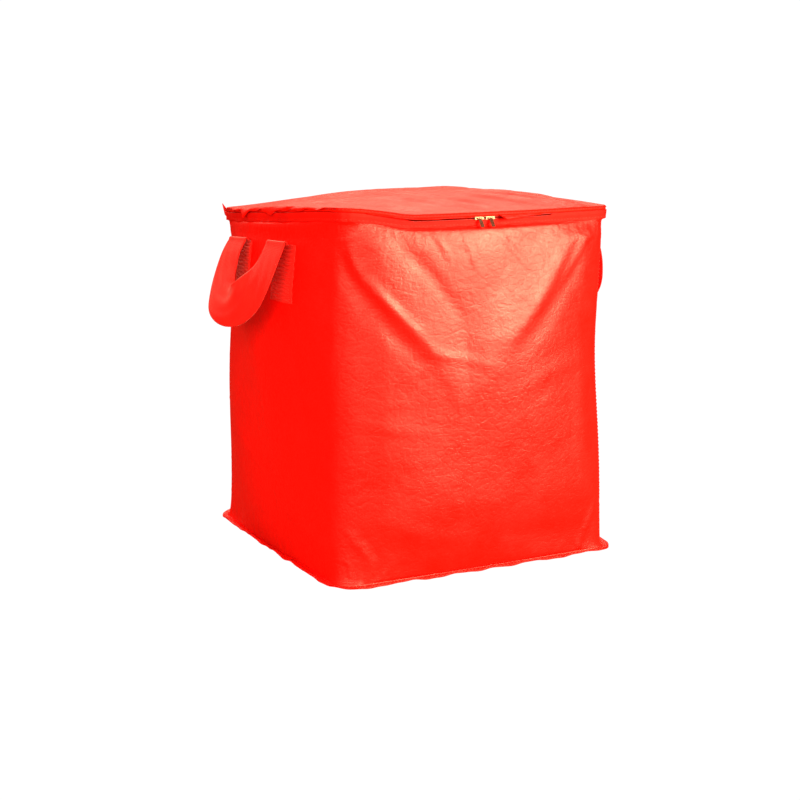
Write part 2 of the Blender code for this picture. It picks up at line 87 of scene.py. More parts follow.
def level_shape(z):
    share = np.clip((z - BELLY_START) / (WALL_HEIGHT - BELLY_START), 0.0, 1.0)
    belly = (4.0 * share * (1.0 - share)) ** BELLY_FULLNESS
    half = BASE_HALF + (RIM_HALF - BASE_HALF) * share
    bow = BASE_BOW + (RIM_BOW - BASE_BOW) * share + BELLY_BOW * belly
    corner = (BASE_CORNER + (RIM_CORNER - BASE_CORNER) * share) * (1.0 - belly) + BELLY_CORNER * belly
    return half, bow, corner


def side_arc(half, bow, corner):
    chord = half - corner
    for _ in range(8):
        angle = 2.0 * np.arctan(bow / chord)
        chord = half - corner * (np.cos(angle) - np.sin(angle))
    return chord, angle, chord / np.sin(angle)


def outline(u, z, offset=0.0):
    """Points on the outline at column u and height z, and their flat outward normals."""
    u, z, offset = np.broadcast_arrays(*(np.asarray(v, float) for v in (u, z, offset)))
    half, bow, corner = level_shape(z)
    chord, angle, radius = side_arc(half, bow, corner)
    place = (u - CORNER_STEPS / 2) % COLUMNS
    quarter = np.floor(place / QUARTER).astype(int)
    step = place - QUARTER * quarter
    side = step <= SIDE_STEPS
    turned = np.where(
        side, angle * (2.0 * step / SIDE_STEPS - 1.0),
        angle + (math.pi / 2 - 2.0 * angle) * (step - SIDE_STEPS) / CORNER_STEPS)
    sine, cosine = np.sin(turned), np.cos(turned)
    x = np.where(side, (radius + offset) * sine,
                 chord - corner * np.sin(angle) + (corner + offset) * sine)
    y = np.where(side, radius - half - bow - (radius + offset) * cosine,
                 corner * np.cos(angle) - half - (corner + offset) * cosine)
    points = np.stack([np.choose(quarter, [y, x, -y, -x]),
                       np.choose(quarter, [-x, y, x, -y]), z], -1)
    normals = np.stack([np.choose(quarter, [-cosine, sine, cosine, -sine]),
                        np.choose(quarter, [-sine, -cosine, sine, cosine]),
                        np.zeros_like(sine)], -1)
    return points, normals


def side_column(quarter, along, z):
    """Column of a place on a side, along metres to the right of its middle seen from outside."""
    along, z = np.broadcast_arrays(np.asarray(along, float), np.asarray(z, float))
    _, angle, radius = side_arc(*level_shape(z))
    turned = np.arcsin(np.clip(along / radius, -1.0, 1.0))
    return CORNER_STEPS / 2 + QUARTER * quarter + SIDE_STEPS * (turned / angle + 1.0) / 2


def unit(rows):
    return rows / np.linalg.norm(rows, axis=-1, keepdims=True)


def lengths_along(points):
    return np.concatenate([[0.0], np.cumsum(np.linalg.norm(np.diff(points, axis=0), axis=1))])


def girth_table():
    """Arc length round the belly at each column, 0 at the front's middle."""
    u = np.linspace(0.0, COLUMNS, 1121)
    points, _ = outline(u, 0.35)
    length = lengths_along(points)
    return u, length - np.interp(FRONT_COLUMN, u, length), length[-1]


GIRTH_U, GIRTH_S, GIRTH = girth_table()
SIDE_LENGTH = GIRTH / 4
LEFT, FRONT, RIGHT, BACK = -SIDE_LENGTH, 0.0, SIDE_LENGTH, 2 * SIDE_LENGTH


def girth_of(u):
    return np.interp(np.asarray(u, float) % COLUMNS, GIRTH_U, GIRTH_S)


def apart(g, place):
    """Signed distance round the bag from a place."""
    return (g - place + GIRTH / 2) % GIRTH - GIRTH / 2


def ripple_round(g, count, phase=0.0):
    return np.sin(2 * math.pi * count * g / GIRTH + phase)


def smooth(value, low, high):
    share = np.clip((value - low) / (high - low), 0.0, 1.0)
    return share * share * (3.0 - 2.0 * share)


# ------------------------------------------------------------ folds in the walls

# Both ends of each fold (right of the side's middle, height), its width, height and bend,
# all in millimetres. The photo doesn't show the right and back walls.
FRONT_FOLDS = (
    # Tension folds of the front.
    (-300, 664, -105, 440, 16, 4, 12),
    (-322, 650, -140, 432, 20, -4.5, 10),
    (-285, 633, -160, 495, 9, 3.4, 4),
    (-205, 676, -70, 520, 14, -2, -8),
    (185, 650, 15, 455, 18, 3.2, -12),
    (215, 640, 50, 440, 24, -3, -10),
    (240, 672, 155, 560, 10, 2.2, 0),
    (10, 690, 105, 590, 6, 2, 4),
    (-60, 692, -28, 600, 6, 1.6, 3),
    (-130, 690, -85, 625, 6, 1.8, -4),
    (60, 688, 150, 640, 7, -1.4, 4),
    (-180, 455, 20, 410, 10, 1.4, -10),
    (-290, 335, -120, 300, 12, 1.4, 8),
    (60, 370, 270, 420, 18, 1.8, -10),
    (-240, 130, -20, 75, 22, 2.4, 12),
    (30, 85, 240, 60, 20, -2, 10),
    (285, 120, 235, 20, 10, 3, 4),
    (-300, 120, -235, 12, 10, 2.6, -4),
    # Long fine horizontal creases.
    (-325, 590, -160, 584, 2.6, 0.7, 2),
    (-300, 600, -120, 594, 2.6, 0.7, 2),
    (-330, 450, -200, 444, 2.6, 0.7, 2),
    (-60, 520, 120, 514, 2.6, 0.7, 2),
    (-20, 545, 160, 539, 2.6, 0.7, 2),
    (10, 500, 180, 494, 2.6, 0.7, 2))
LEFT_FOLDS = (
    # Two fine horizontal creases, then broader folds.
    (110, 432, 325, 455, 3, 0.9, 2),
    (20, 612, 300, 625, 2.8, 0.6, 2),
    (-240, 660, -150, 520, 14, 3, 10),
    (245, 672, 150, 560, 14, 2.6, -8),
    (-200, 250, 20, 190, 24, 2, 14),
    (60, 140, 260, 70, 18, 2.4, 8))
FAR_FOLDS = (
    (-290, 660, -110, 450, 16, 3.6, 12),
    (295, 655, 130, 470, 16, 3.6, -12),
    (-230, 120, -20, 70, 20, 2.4, 10),
    (60, 310, 260, 370, 18, 1.8, -10))


def crease_list():
    """(g, z) of both ends, width, height and bend of each fold."""
    rng = np.random.default_rng(11)
    folds = []
    for side, rows in ((FRONT, FRONT_FOLDS), (LEFT, LEFT_FOLDS), (RIGHT, FAR_FOLDS), (BACK, FAR_FOLDS)):
        for s0, z0, s1, z1, width, height, bend in np.array(rows) / 1000.0:
            folds.append((side + s0, z0, side + s1, z1, width, height, bend))
    # Puckers under the rim band and above the base seam, all round.
    for count, edge, foot, way, longs, widths, heights in (
            (150, 0.692, 0.686, -1, (0.010, 0.040), (0.0025, 0.005), (0.0003, 0.0013)),
            (110, 0.004, 0.010, 1, (0.012, 0.055), (0.004, 0.008), (0.0006, 0.0020))):
        for _ in range(count):
            g = rng.uniform(-GIRTH / 2, GIRTH / 2)
            long = rng.uniform(*longs)
            folds.append((g, edge, g + rng.uniform(-0.5, 0.5) * long, foot + way * long,
                          rng.uniform(*widths), rng.uniform(*heights), 0.0))
    # Short crinkles across the four corners.
    for corner in (-1.5, -0.5, 0.5, 1.5):
        for _ in range(46):
            g = corner * SIDE_LENGTH + rng.normal(0.0, 0.035)
            z = rng.uniform(0.04, 0.67)
            half = rng.uniform(0.010, 0.035)
            slope = rng.normal(0.0, 0.35)
            folds.append((g - half, z - slope * half, g + half, z + slope * half,
                          rng.uniform(0.0022, 0.0045), rng.uniform(-0.0008, 0.0013),
                          rng.uniform(-0.003, 0.003)))
    # Faint crumples everywhere.
    for _ in range(170):
        g = rng.uniform(-GIRTH / 2, GIRTH / 2)
        z = rng.uniform(0.03, 0.67)
        half = rng.uniform(0.015, 0.060)
        turned = rng.normal(0.0, 0.5) + (math.pi / 2 if rng.random() < 0.2 else 0.0)
        folds.append((g - half * math.cos(turned), z - half * math.sin(turned),
                      g + half * math.cos(turned), z + half * math.sin(turned),
                      rng.uniform(0.003, 0.010), rng.uniform(-0.0007, 0.0009),
                      rng.uniform(-0.004, 0.004)))
    return folds


def fold_field(g, z, folds):
    total = np.zeros_like(g)
    for g0, z0, g1, z1, width, height, bend in folds:
        dx, dz = g1 - g0, z1 - z0
        length = math.hypot(dx, dz)
        px, pz = apart(g, g0), z - z0
        near = (np.abs(apart(g, (g0 + g1) / 2)) < abs(dx) / 2 + 4 * width + abs(bend))
        near &= np.abs(z - (z0 + z1) / 2) < abs(dz) / 2 + 4 * width + abs(bend)
        if not near.any():
            continue
        px, pz = px[near], pz[near]
        along = (px * dx + pz * dz) / length ** 2
        across = (px * dz - pz * dx) / length
        inside = np.clip(along, 0.0, 1.0)
        across = across - bend * 4.0 * inside * (1.0 - inside)
        taper = np.sin(math.pi * np.clip(along * 0.94 + 0.03, 0.0, 1.0)) ** 0.7
        taper = np.where((along < -0.03) | (along > 1.03), 0.0, taper)
        ridge = np.exp(-(across / width) ** 2) - 0.45 * np.exp(-(across / (2.4 * width)) ** 2)
        total[near] += height * taper * ridge
    return total


FOLDS = crease_list()
WAVES = np.random.default_rng(5).uniform(-1.0, 1.0, (14, 4))


def swell(g, z):
    """Broad lean of the filled cloth: the front fills out under a fan that hangs from its top."""
    left_line = 0.676 - (g + 0.285) * 1.32
    right_line = 0.655 + (g - 0.215) * 1.02
    above = z - np.maximum(left_line, right_line)
    total = 0.012 * (1.0 - smooth(above, -0.03, 0.15)) * smooth(z, 0.0, 0.16)
    total *= smooth(np.abs(apart(g, FRONT)), SIDE_LENGTH * 0.52, SIDE_LENGTH * 0.36)
    for side in (LEFT, RIGHT, BACK):
        s = apart(g, side)
        above = z - 0.44 - 0.85 * np.abs(s)
        hang = -0.007 * smooth(above, -0.03, 0.14)
        total = total + hang * smooth(np.abs(s), SIDE_LENGTH * 0.5, SIDE_LENGTH * 0.34)
    for a, b, c, d in WAVES:
        count = round(3 + 6 * abs(a))
        total = total + 0.0006 * np.sin(
            count * 2 * math.pi * g / GIRTH + 6 * b + (7 + 12 * abs(c)) * z + 5 * d)
    right_dent = -0.004 * np.exp(-((z - 0.45) / 0.13) ** 2)
    total += right_dent * smooth(np.abs(apart(g, SIDE_LENGTH * 0.55)), 0.30, 0.05)
    return total


def displacement(u, z):
    u, z = np.broadcast_arrays(np.asarray(u, float), np.asarray(z, float))
    g = girth_of(u)
    held = smooth(z, 0.6915, 0.655) * smooth(z, 0.004, 0.05)
    tight = smooth(z, 0.6925, 0.680) * smooth(z, 0.0045, 0.016)
    return swell(g, z) * held + fold_field(g, z, FOLDS) * tight


def wall_surface(u, z, lift=0.0):
    """Points of the wall's outer face, moved out by lift, and normals."""
    depth = displacement(u, z)
    return outline(u, z, depth + lift)


def rim_wave(x, y, z):
    """How far the soft rim leaves its level line: up at the near corner, down at the back left."""
    along = np.maximum(x + 0.32, 0.0)
    near = np.exp(-(along / 0.12) ** 2.5 - (np.maximum(y + 0.32, 0.0) / 0.20) ** 2)
    near = near * smooth(-x, 0.135, 0.210)
    far = np.exp(-(along / 0.24) ** 2 - (np.maximum(0.32 - y, 0.0) / 0.26) ** 2)
    return (0.017 * near - 0.024 * far) * smooth(z, 0.60, 0.69)


def settle(obj):
    """Move a piece's mesh with the wave of the rim."""
    mesh = obj.data
    places = np.empty(len(mesh.vertices) * 3)
    mesh.vertices.foreach_get("co", places)
    places = places.reshape(-1, 3)
    places[:, 2] += rim_wave(*places.T)
    mesh.vertices.foreach_set("co", places.ravel())
    mesh.update()


# ------------------------------------------------------------ mesh helpers

def new_object(name, data):
    made = bpy.data.objects.new(name, data)
    SCENE.collection.objects.link(made)
    return made


def new_piece(name, verts, faces):
    mesh = bpy.data.meshes.new(name)
    mesh.from_pydata(verts, [], faces)
    return new_object(name, mesh)


def grid_mesh(name, points, closed_u=False, closed_v=False, uv=None, flip=False):
    """Mesh over an array of points (rows, columns, 3); uv holds metres."""
    rows, columns = points.shape[:2]
    index = np.arange(rows * columns).reshape(rows, columns)
    if closed_v:
        index = np.vstack([index, index[:1]])
    if closed_u:
        index = np.hstack([index, index[:, :1]])
    quads = np.stack([index[:-1, :-1], index[:-1, 1:], index[1:, 1:], index[1:, :-1]], -1)
    quads = quads.reshape(-1, 4)
    if flip:
        quads = quads[:, ::-1]
    made = new_piece(name, points.reshape(-1, 3).tolist(), quads.tolist())
    mesh = made.data
    if uv is not None:
        flat = uv.reshape(-1, 2)
        layer = mesh.uv_layers.new(name="UVMap")
        corner = np.empty(len(mesh.loops), np.int64)
        mesh.loops.foreach_get("vertex_index", corner)
        layer.data.foreach_set("uv", flat[corner].astype(np.float32).ravel())
    mesh.shade_smooth()
    return made


def thicken(obj, thickness, offset=-1.0):
    solid = obj.modifiers.new("thickness", "SOLIDIFY")
    solid.thickness = thickness
    solid.offset = offset
    solid.use_even_offset = False
    depsgraph = bpy.context.evaluated_depsgraph_get()
    mesh = bpy.data.meshes.new_from_object(obj.evaluated_get(depsgraph))
    obj.modifiers.clear()
    obj.data = mesh


def finish_piece(obj, material, body, nodes=()):
    """Settle, paint and register a piece; body is None for one that is not attached to a body."""
    settle(obj)
    obj.data.materials.clear()
    obj.data.materials.append(material)
    if body:
        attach(obj, body)
    if nodes:
        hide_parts(*nodes)


def fine_columns(first, last, side=13, corner=3):
    """Column places from first to last, denser along the sides so that they are evenly spaced."""
    places = []
    for column in range(first, last):
        on_side = (column - 3) % QUARTER < SIDE_STEPS
        count = side if on_side else corner
        places += [column + step / count for step in range(count)]
    return np.array(places + [last])


def tube_along(name, paths, radius, sides=6):
    """Short round threads, one along each path of points; each path is an (n, 3) array."""
    verts, faces = [], []
    for path in paths:
        path = np.asarray(path, float)
        travel = np.gradient(path, axis=0)
        travel /= np.linalg.norm(travel, axis=1, keepdims=True) + 1e-12
        reference = np.tile([0.0, 0.0, 1.0], (len(path), 1))
        reference[np.abs(travel[:, 2]) > 0.9] = [1.0, 0.0, 0.0]
        one = np.cross(travel, reference)
        one /= np.linalg.norm(one, axis=1, keepdims=True)
        two = np.cross(travel, one)
        start = len(verts)
        count = len(path)
        for place in range(count):
            shrink = 0.45 if place in (0, count - 1) else 1.0
            for side in range(sides):
                angle = 2 * math.pi * side / sides
                offset = one[place] * math.cos(angle) + two[place] * math.sin(angle)
                verts.append((path[place] + offset * radius * shrink).tolist())
        for place in range(count - 1):
            for side in range(sides):
                a = start + place * sides + side
                b = start + place * sides + (side + 1) % sides
                faces.append((a, b, b + sides, a + sides))
        faces.append([start + side for side in range(sides)][::-1])
        faces.append([start + (count - 1) * sides + side for side in range(sides)])
    made = new_piece(name, verts, faces)
    made.data.shade_smooth()
    return made


# ------------------------------------------------------------ materials

def new_material(name, colour, roughness, metallic=0.0):
    made = bpy.data.materials.new(name)
    made.use_nodes = True
    shader = made.node_tree.nodes["Principled BSDF"]
    shader.inputs["Base Color"].default_value = (*colour, 1.0)
    shader.inputs["Roughness"].default_value = roughness
    shader.inputs["Metallic"].default_value = metallic
    return made, made.node_tree, shader


def add_node(tree, kind, output, inputs, **settings):
    """Output of a new node; inputs holds a value or a socket to link for each named input."""
    node = tree.nodes.new(kind)
    for name, value in settings.items():
        setattr(node, name, value)
    for name, value in inputs.items():
        if isinstance(value, bpy.types.NodeSocket):
            tree.links.new(value, node.inputs[name])
        else:
            node.inputs[name].default_value = value
    return node.outputs[output]


def noise(tree, vector, scale, detail=3.0, rough=0.5, distortion=0.0):
    return add_node(tree, "ShaderNodeTexNoise", "Fac", {
        "Vector": vector, "Scale": scale, "Detail": detail, "Roughness": rough,
        "Distortion": distortion})


def wave(tree, vector, pitch, direction):
    """Bands a pitch apart in metres; the wave texture's bands are 0.314 / scale apart."""
    return add_node(tree, "ShaderNodeTexWave", "Fac", {"Vector": vector, "Scale": 0.314 / pitch},
                    wave_type="BANDS", bands_direction=direction)


def ramp(tree, value, low, high, from_low=0.0, from_high=1.0):
    return add_node(tree, "ShaderNodeMapRange", "Result", {
        "Value": value, "From Min": from_low, "From Max": from_high, "To Min": low, "To Max": high})


def mix_colour(tree, share, first, second):
    return add_node(tree, "ShaderNodeMix", "Result", {
        "Factor": share, "A": (*first, 1.0), "B": (*second, 1.0)}, data_type="RGBA")


def bump(tree, height, distance, strength, previous=None):
    inputs = {"Distance": distance, "Strength": strength, "Height": height}
    if previous is not None:
        inputs["Normal"] = previous
    return add_node(tree, "ShaderNodeBump", "Normal", inputs)


def stretched(tree, vector, x, y, z):
    return add_node(tree, "ShaderNodeMapping", "Vector", {"Scale": (x, y, z), "Vector": vector})


def multiply(tree, first, second):
    node = tree.nodes.new("ShaderNodeMath")
    node.operation = "MULTIPLY"
    tree.links.new(first, node.inputs[0])
    tree.links.new(second, node.inputs[1])
    return node.outputs[0]


def coordinates(tree, kind):
    return add_node(tree, "ShaderNodeTexCoord", kind, {})


def paint(tree, shader, normal, tone, colours, roughness):
    tree.links.new(normal, shader.inputs["Normal"])
    tree.links.new(mix_colour(tree, tone, *colours), shader.inputs["Base Color"])
    tree.links.new(roughness, shader.inputs["Roughness"])


def cloth_material(name, colour, deep, roughness, weave_pitch=0.0024, crinkle=1.0, shine=0.30):
    """Coated woven tape cloth: weave, crackle creases, patchy gloss and tone."""
    made, tree, shader = new_material(name, colour, roughness)
    place = coordinates(tree, "Object")
    flat = coordinates(tree, "UV")
    warp = wave(tree, flat, weave_pitch, "X")
    weft = wave(tree, flat, weave_pitch, "Y")
    weave = multiply(tree, warp, weft)
    slub = noise(tree, stretched(tree, flat, 1.0, 9.0, 1.0), 60.0, 3.0, 0.6)
    crumple = noise(tree, place, 34.0, 5.0, 0.62, 0.6)
    fine = noise(tree, place, 130.0, 4.0, 0.65, 0.4)
    cells = add_node(tree, "ShaderNodeTexVoronoi", "Distance", {
        "Scale": 46.0, "Vector": stretched(tree, place, 1.0, 1.0, 1.7)}, feature="DISTANCE_TO_EDGE")
    edges = ramp(tree, cells, 0.0, 1.0, 0.0, 0.14)
    normal = bump(tree, crumple, 0.0040, 0.32 * crinkle)
    normal = bump(tree, edges, 0.0008, 0.16 * crinkle, normal)
    normal = bump(tree, fine, 0.0010, 0.30 * crinkle, normal)
    normal = bump(tree, slub, 0.0005, 0.25, normal)
    normal = bump(tree, weave, 0.0004, 0.35, normal)
    tone = ramp(tree, noise(tree, place, 7.0, 4.0, 0.6), 0.0, 1.0, 0.30, 0.70)
    gloss = noise(tree, place, 16.0, 4.0, 0.6)
    paint(tree, shader, normal, tone, (colour, deep),
          ramp(tree, gloss, roughness - 0.07, roughness + 0.09, 0.25, 0.75))
    shader.inputs["Specular IOR Level"].default_value = shine
    return made


def webbing_material(name, colour, deep):
    made, tree, shader = new_material(name, colour, 0.6)
    flat = coordinates(tree, "UV")
    place = coordinates(tree, "Object")
    rib = wave(tree, flat, 0.0030, "Y")
    yarn = wave(tree, flat, 0.0022, "X")
    fuzz = noise(tree, place, 420.0, 3.0, 0.7)
    normal = bump(tree, rib, 0.0006, 0.40)
    normal = bump(tree, yarn, 0.0005, 0.30, normal)
    normal = bump(tree, fuzz, 0.0004, 0.30, normal)
    tone = ramp(tree, noise(tree, place, 26.0, 4.0, 0.6), 0.0, 1.0, 0.3, 0.7)
    paint(tree, shader, normal, tone, (colour, deep), ramp(tree, fuzz, 0.50, 0.72, 0.3, 0.7))
    shader.inputs["Sheen Weight"].default_value = 0.20
    shader.inputs["Sheen Roughness"].default_value = 0.4
    return made


def thread_material(name, colour, deep):
    made, tree, shader = new_material(name, colour, 0.55)
    place = coordinates(tree, "Object")
    twist = noise(tree, place, 900.0, 2.0, 0.5)
    paint(tree, shader, bump(tree, twist, 0.0003, 0.5), ramp(tree, twist, 0.0, 1.0, 0.35, 0.65),
          (colour, deep), ramp(tree, twist, 0.45, 0.65))
    return made


def metal_material(name, colour, deep):
    made, tree, shader = new_material(name, colour, 0.28, 1.0)
    place = coordinates(tree, "Object")
    scuff = noise(tree, place, 300.0, 4.0, 0.6)
    brushed = noise(tree, stretched(tree, place, 1.0, 1.0, 8.0), 700.0, 2.0, 0.5)
    normal = bump(tree, scuff, 0.0003, 0.25)
    normal = bump(tree, brushed, 0.0001, 0.3, normal)
    paint(tree, shader, normal, ramp(tree, scuff, 0.0, 1.0, 0.35, 0.65), (colour, deep),
          ramp(tree, scuff, 0.20, 0.40, 0.3, 0.7))
    return made


CLOTH_RED = cloth_material("coated_cloth_red", (0.90, 0.0045, 0.0008), (0.84, 0.0034, 0.0005),
                           0.40, shine=0.50)
LID_RED = cloth_material("lid_cloth_red", (0.88, 0.012, 0.004), (0.82, 0.008, 0.003),
                         0.46, crinkle=0.8, shine=0.12)
TRIM_RED = cloth_material("trim_tape_red", (0.80, 0.010, 0.005), (0.66, 0.006, 0.004),
                          0.60, weave_pitch=0.0014, crinkle=0.4, shine=0.14)
WEBBING_RED = webbing_material("webbing_red", (0.84, 0.016, 0.008), (0.70, 0.008, 0.006))
THREAD_RED = thread_material("thread_red", (0.72, 0.020, 0.012), (0.46, 0.008, 0.006))
DARK_THREAD = thread_material("thread_dark_red", (0.16, 0.003, 0.003), (0.10, 0.002, 0.002))
ZIP_PLASTIC = thread_material("zip_coil_red", (0.50, 0.008, 0.008), (0.36, 0.005, 0.006))
ZIP_METAL = metal_material("zip_metal_pale", (0.50, 0.36, 0.24), (0.30, 0.20, 0.16))


# ------------------------------------------------------------ walls and base

def flange_wave(g):
    """How far the base seam's edge lifts off the floor, and how far it wanders in and out."""
    lift = 0.5 + 0.5 * ripple_round(g, 23, 1.4 * ripple_round(g, 5))
    lift = 0.0030 * lift ** 2 + 0.0010 * (0.5 + 0.5 * ripple_round(g, 61, 0.7))
    return lift, 0.0012 * ripple_round(g, 17, 0.4) + 0.0009 * ripple_round(g, 41, 2.0)


def wall_heights():
    share = np.linspace(0.0, 1.0, 128)
    eased = 0.5 - 0.5 * np.cos(math.pi * share)
    heights = BELLY_START + (WALL_HEIGHT - BELLY_START) * (0.45 * eased + 0.55 * share)
    return np.concatenate([[0.0042], heights, [0.6935, WALL_TOP]])


def make_wall(name, first):
    u = fine_columns(first, first + 28)
    ends = np.zeros_like(u)
    ends[0], ends[-1] = 0.004, -0.004
    u = u + ends
    heights = wall_heights()
    g = girth_of(u)
    lift, wander = flange_wave(g)
    rows, uvs = [], []
    for share in (1.0, 0.75, 0.5, 0.25, 0.08):
        points, _ = outline(u, HEM_TOP, (FLANGE + wander) * share)
        points[:, 2] += lift * share ** 1.5 + 0.0002
        rows.append(points)
        uvs.append(np.stack([g, np.full_like(g, -FLANGE * share)], -1))
    grid_u, grid_z = np.meshgrid(u, heights)
    points, _ = wall_surface(grid_u, grid_z)
    rows = np.concatenate([np.array(rows), points])
    flat = np.stack([girth_of(grid_u), grid_z], -1)
    made = grid_mesh("wall_cloth_" + name, rows, uv=np.concatenate([np.array(uvs), flat]))
    thicken(made, SHEET)
    finish_piece(made, CLOTH_RED, "bag", ("wall_panel_" + name,))


make_wall("front_left", 0)
make_wall("back_right", 28)


def make_base():
    u = fine_columns(0, 56)[:-1]
    g = girth_of(u)
    lift, wander = flange_wave(g)
    rows, uvs = [], []
    for share in (1.0, 0.985, 0.97, 0.955, 0.93, 0.85, 0.7, 0.5, 0.25, 0.004):
        points, _ = outline(u, 0.0, FLANGE + wander * max(0.0, (share - 0.955) / 0.045))
        points[:, :2] *= share
        points[:, 2] = CLOTH + lift * max(0.0, (share - 0.955) / 0.045) ** 1.5
        rows.append(points)
        uvs.append(points[:, :2])
    made = grid_mesh("base_cloth", np.array(rows), closed_u=True, uv=np.array(uvs), flip=False)
    thicken(made, BASE_SHEET)
    for vert in made.data.vertices:
        vert.co.z = max(vert.co.z, 0.0)
    finish_piece(made, CLOTH_RED, "bag", ("base_panel",))


make_base()

# ------------------------------------------------------------ strips along the outline

def strip(name, u, profile, closed=False, ripple=0.0, seed=0):
    """Strip of cloth along columns u; profile is rows of (offset, height) arrays round its section."""
    g = girth_of(u)
    rows, uvs = [], []
    travelled = 0.0
    last = None
    for offset, z in profile:
        offset = np.broadcast_to(np.asarray(offset, float), u.shape)
        z = np.broadcast_to(np.asarray(z, float), u.shape)
        wander = ripple * ripple_round(g, 37 + seed, 1.7 * seed)
        wander = wander + 0.6 * ripple * ripple_round(g, 83 + 3 * seed, seed)
        points, _ = outline(u, z, offset + wander)
        rows.append(points)
        if last is not None:
            travelled += float(np.linalg.norm(points[0] - last[0]))
        last = points
        uvs.append(np.stack([g, np.full_like(g, travelled)], -1))
    points, flat = np.array(rows), np.array(uvs)
    if closed:
        points, flat = points[:, :-1], flat[:, :-1]
    made = grid_mesh(name, points, closed_u=closed, closed_v=True, uv=flat)
    if not closed:
        cap_ends(made, points.shape[0], points.shape[1])
    return made


def cap_ends(obj, rows, columns):
    mesh = obj.data
    verts = [list(v.co) for v in mesh.vertices]
    faces = [list(p.vertices) for p in mesh.polygons]
    layer = mesh.uv_layers[0].data if mesh.uv_layers else None
    flat = [tuple(layer[i].uv) for i in range(len(mesh.loops))] if layer else []
    corner_of = {}
    for loop in mesh.loops:
        corner_of.setdefault(loop.vertex_index, loop.index)
    first = [row * columns for row in range(rows)]
    final = [row * columns + columns - 1 for row in range(rows)]
    faces += [first, final[::-1]]
    made = bpy.data.meshes.new(mesh.name)
    made.from_pydata(verts, [], faces)
    if layer:
        flat += [flat[corner_of[index]] for index in first + final[::-1]]
        uv = made.uv_layers.new(name="UVMap")
        uv.data.foreach_set("uv", np.array(flat, np.float32).ravel())
    made.shade_smooth()
    obj.data = made


def box_rows(inner, outer, bottom, top, round_by=0.0004):
    """Section of a flat strip with eased edges, as rows for strip()."""
    middle = (np.asarray(inner) + np.asarray(outer)) / 2
    return [(inner, bottom + round_by), (middle, bottom), (outer, bottom + round_by),
            (outer, (bottom + top) / 2), (outer, top - round_by), (middle, top),
            (inner, top - round_by), (inner, (bottom + top) / 2)]


def side_along(u):
    """Metres right of the middle of the front, left, right and back sides."""
    g = girth_of(u)
    return {side: apart(g, side) for side in (LEFT, FRONT, RIGHT, BACK)}


def band_shape(u):
    """Top height and outward lean of the rim band; it dips where the sliders run.

    It stands up in a point at the back left corner."""
    near = side_along(u)
    front = near[FRONT]
    low = smooth(front, -0.175, -0.140) * smooth(front, 0.150, 0.125)
    back = smooth(np.abs(near[BACK]), SIDE_LENGTH * 0.60, SIDE_LENGTH * 0.50)
    tall = (1.0 - low) * (1.0 - back)
    top = 0.7014 + 0.0062 * tall
    lean = 0.0011 * tall + 0.0015 * np.exp(-(near[LEFT] / 0.20) ** 2) * tall
    spike = np.exp(-np.abs(apart(girth_of(u), -1.5 * SIDE_LENGTH) - 0.004) / 0.013)
    return top + 0.0230 * spike, lean + 0.0110 * spike


def make_band():
    u = fine_columns(0, 56, 14, 6)
    top, lean = band_shape(u)
    bottom = 0.6903 + 0.0007 * ripple_round(girth_of(u), 29) - 0.0006
    inner, outer = 0.0006, 0.0026
    rows = [(inner, bottom + 0.001), (inner + 0.0008, bottom), (outer + 0.0006, bottom + 0.0004),
            (outer, bottom + 0.0020), (outer, 0.6960), (outer + lean * 0.5, 0.6995),
            (outer + lean, top - 0.0006), (outer - 0.0004 + lean, top),
            (inner + 0.0002 + lean, top - 0.0004), (inner + lean * 0.5, 0.6995),
            (inner, 0.6960)]
    made = strip("rim_band_cloth", u, rows, closed=True, ripple=0.0004, seed=1)
    finish_piece(made, TRIM_RED, "bag", ("rim_band",))


make_band()


def hem_top(u):
    """Height of the lid hem's upper edge, and where it stands a little higher, along the right."""
    near = side_along(u)
    right = smooth(np.abs(near[RIGHT]), SIDE_LENGTH * 0.56, SIDE_LENGTH * 0.42)
    return RIM_HEIGHT + 0.0006 * right, right


def make_hem():
    u = fine_columns(3, 39, 14, 6)
    top, right = hem_top(u)
    inner, outer = 0.0004, 0.0019
    lean = 0.0012 * right
    rows = box_rows(inner, outer + lean, HEM_LINE, top)
    made = strip("lid_hem_cloth", u, rows, ripple=0.0003, seed=2)
    finish_piece(made, LID_RED, "lid", ("lid_hem",))


make_hem()


def make_hinge_strip():
    """Cloth between the band and the lid along the back, in lengths."""
    cuts = np.linspace(39.02, 58.98, 13)
    for index, (first, last) in enumerate(zip(cuts[:-1], cuts[1:])):
        u = np.linspace(first, last, 15)
        fold = 0.0005 * ripple_round(girth_of(u), 31)
        rows = [(0.0004, 0.7019), (0.0017, 0.7019), (0.0020 + fold, 0.7050), (0.0024 + fold, 0.7090),
                (0.0021, 0.7130), (0.0015, 0.7146), (0.0004, 0.7146), (0.0005 + fold, 0.7090),
                (0.0004, 0.7050)]
        made = strip("lid_hinge_cloth_%d" % (index + 1), u, rows)
        finish_piece(made, TRIM_RED, None, ("lid_hinge_strip",))
        points, _ = outline(u[[0, 7, 14]], 0.7019, 0.001)
        points[:, 2] += rim_wave(*points.T)
        run = unit(points[2] - points[0])
        rise = np.array([0.0, 0.0, 1.0]) - run * run[2]
        rise *= 0.0127 / (rise @ rise)
        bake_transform(made)


make_hinge_strip()


